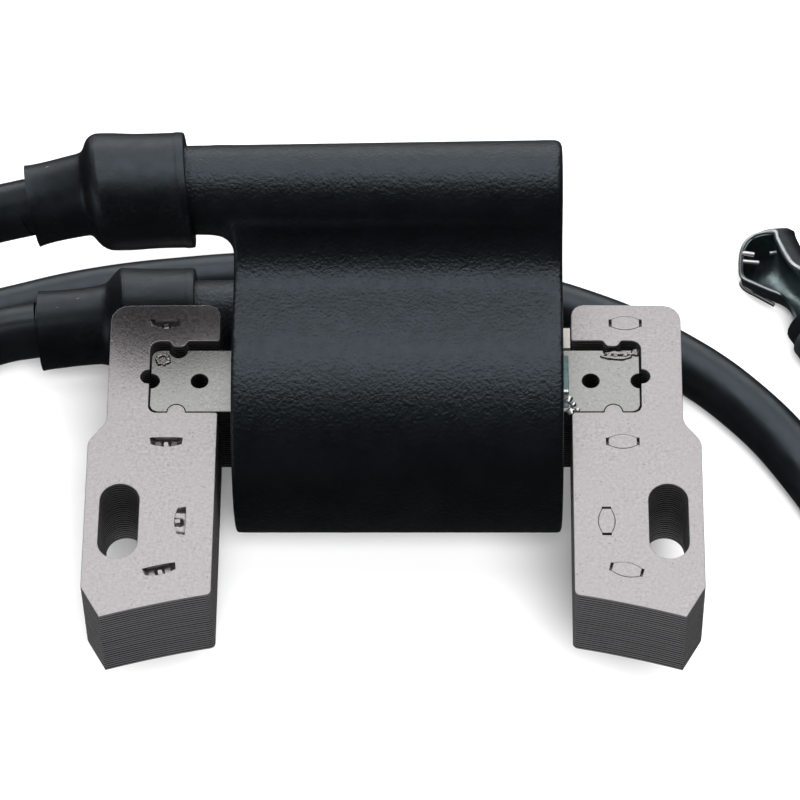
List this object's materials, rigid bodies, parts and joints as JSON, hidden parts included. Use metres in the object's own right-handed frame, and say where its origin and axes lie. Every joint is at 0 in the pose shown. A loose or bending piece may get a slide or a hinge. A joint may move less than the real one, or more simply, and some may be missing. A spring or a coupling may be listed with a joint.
{
  "type": "ignition coil",
  "caption": "Flywheel-magneto ignition coil: laminated steel legs and core bar, black moulded housing with lead towers, rubber boots, high-tension leads and sheet-metal plug clips.",
  "frame": {"origin": "midway between the two mounting slots, on the face that seats on the engine's bosses", "axes": "+X along the core bar towards the housing's open end, +Y along the legs away from the flywheel, +Z square to the sheets, away from the engine"},
  "size_m": [0.2324, 0.1015, 0.0472],
  "materials": {
    "lamination_steel": "stamped sheets, slightly rough, dusty",
    "core_steel": "stamped sheets, satin",
    "weld": "solidified puddle, glossy",
    "cream_plastic": "moulded, satin",
    "winding_wire": "enamelled copper, glossy",
    "tape": "polyester film",
    "white_plastic": "moulded, satin",
    "tinned_wire": "tinned, satin",
    "solder": "bright solder",
    "housing": "fine leather grain, satin",
    "potting": "poured epoxy",
    "board": "solder-masked laminate",
    "component_black": "moulded epoxy",
    "resistor_body": "lacquered ceramic",
    "capacitor_body": "dipped epoxy",
    "brass": "stamped, satin",
    "wire_insulation": "extruded",
    "copper": "stranded copper",
    "boot_rubber": "moulded rubber, dusty",
    "lead_sheath": "extruded sheath, satin",
    "clip_steel": "zinc-plated sheet",
    "spring_steel": "spring wire"
  },
  "bodies": {
    "root": {"left_leg_laminations": "lamination_steel", "right_leg_laminations": "lamination_steel", "core_laminations": "core_steel", "left_core_weld": "weld", "right_core_weld": "weld", "primary_bobbin": "cream_plastic", "primary_winding": "winding_wire", "winding_tape": "tape", "secondary_bobbin": "white_plastic", "secondary_winding": "winding_wire", "ground_wire": "tinned_wire", "ground_solder": "solder", "housing": "housing", "potting_fill": "potting", "control_board": "board", "power_transistor": "component_black", "resistors": "resistor_body", "capacitor": "capacitor_body", "diode": "component_black", "stop_terminal": "brass", "upper_contact_pin": "brass", "lower_contact_pin": "brass", "upper_hv_wire": "wire_insulation", "lower_hv_wire": "wire_insulation", "upper_boot": "boot_rubber", "lower_boot": "boot_rubber", "upper_lead_tail": "lead_sheath", "lower_lead_tail": "lead_sheath", "upper_conductor": "copper", "lower_conductor": "copper", "upper_lead": "lead_sheath", "lower_lead": "lead_sheath", "upper_plug_clip": "clip_steel", "lower_plug_clip": "clip_steel", "upper_clip_spring": "spring_steel", "lower_clip_spring": "spring_steel"}
  },
  "joints": []
}
